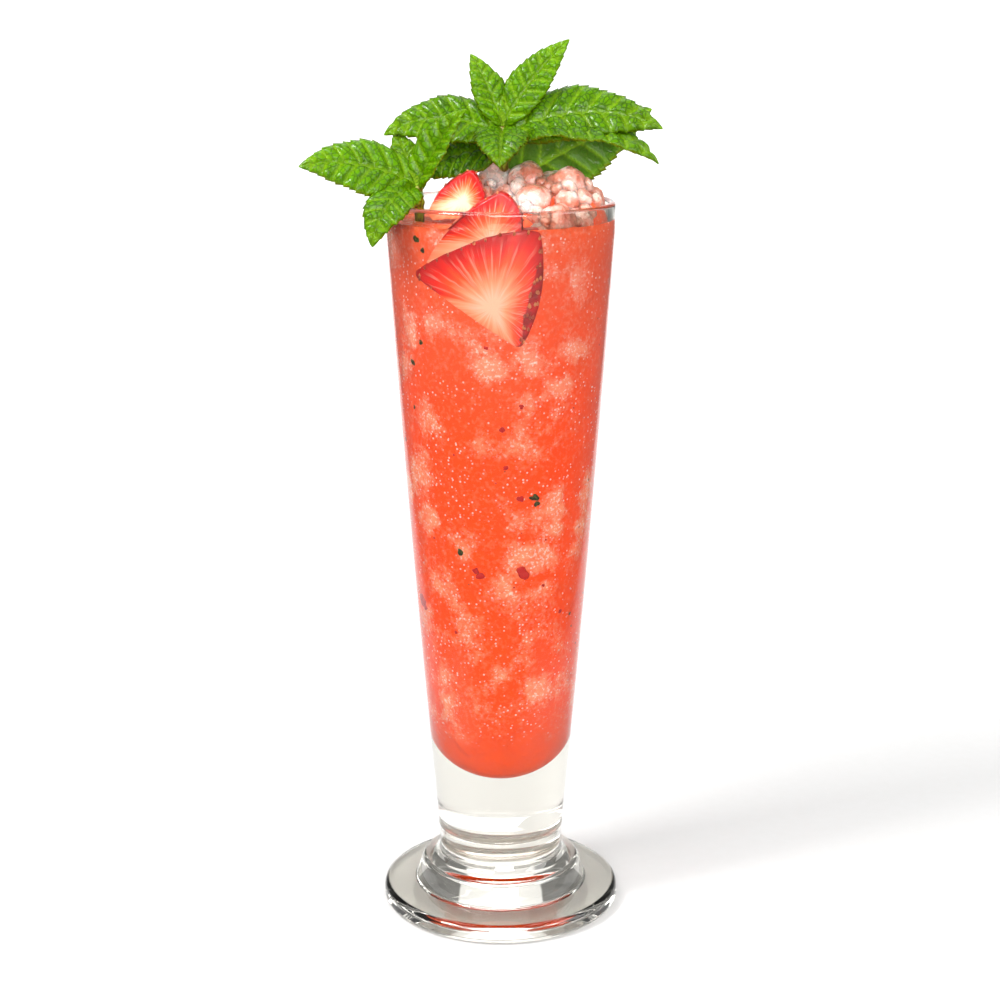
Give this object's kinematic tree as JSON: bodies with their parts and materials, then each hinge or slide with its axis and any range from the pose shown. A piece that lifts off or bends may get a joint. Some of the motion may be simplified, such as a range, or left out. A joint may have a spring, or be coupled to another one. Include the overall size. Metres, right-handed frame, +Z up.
{
  "type": "strawberry mojito cocktail in a footed pilsner glass",
  "caption": "Tall footed glass of orange-red slushy strawberry mojito, topped with crushed ice, strawberry slices and sprigs of mint.",
  "frame": {"origin": "middle of the foot's underside, on the glass axis", "axes": "+Z up the glass axis, -Y the front that shows the strawberry slices, +X to the right with the ice"},
  "size_m": [0.1086, 0.0772, 0.278],
  "materials": {
    "clear_glass": "clear, fire polished",
    "strawberry_slush": "wet, cloudy orange-red slush",
    "ice": "wet, frosted pinkish white",
    "strawberry": "wet cut fruit, pale core and red rim",
    "mint": "glossy quilted green leaf"
  },
  "bodies": {
    "root": {"glass": "clear_glass", "drink": "strawberry_slush", "crushed_ice": "ice", "strawberry_slice_front": "strawberry", "strawberry_slice_middle": "strawberry", "strawberry_slice_back": "strawberry", "mint_sprig_left": "mint", "mint_sprig_right": "mint"}
  },
  "joints": []
}
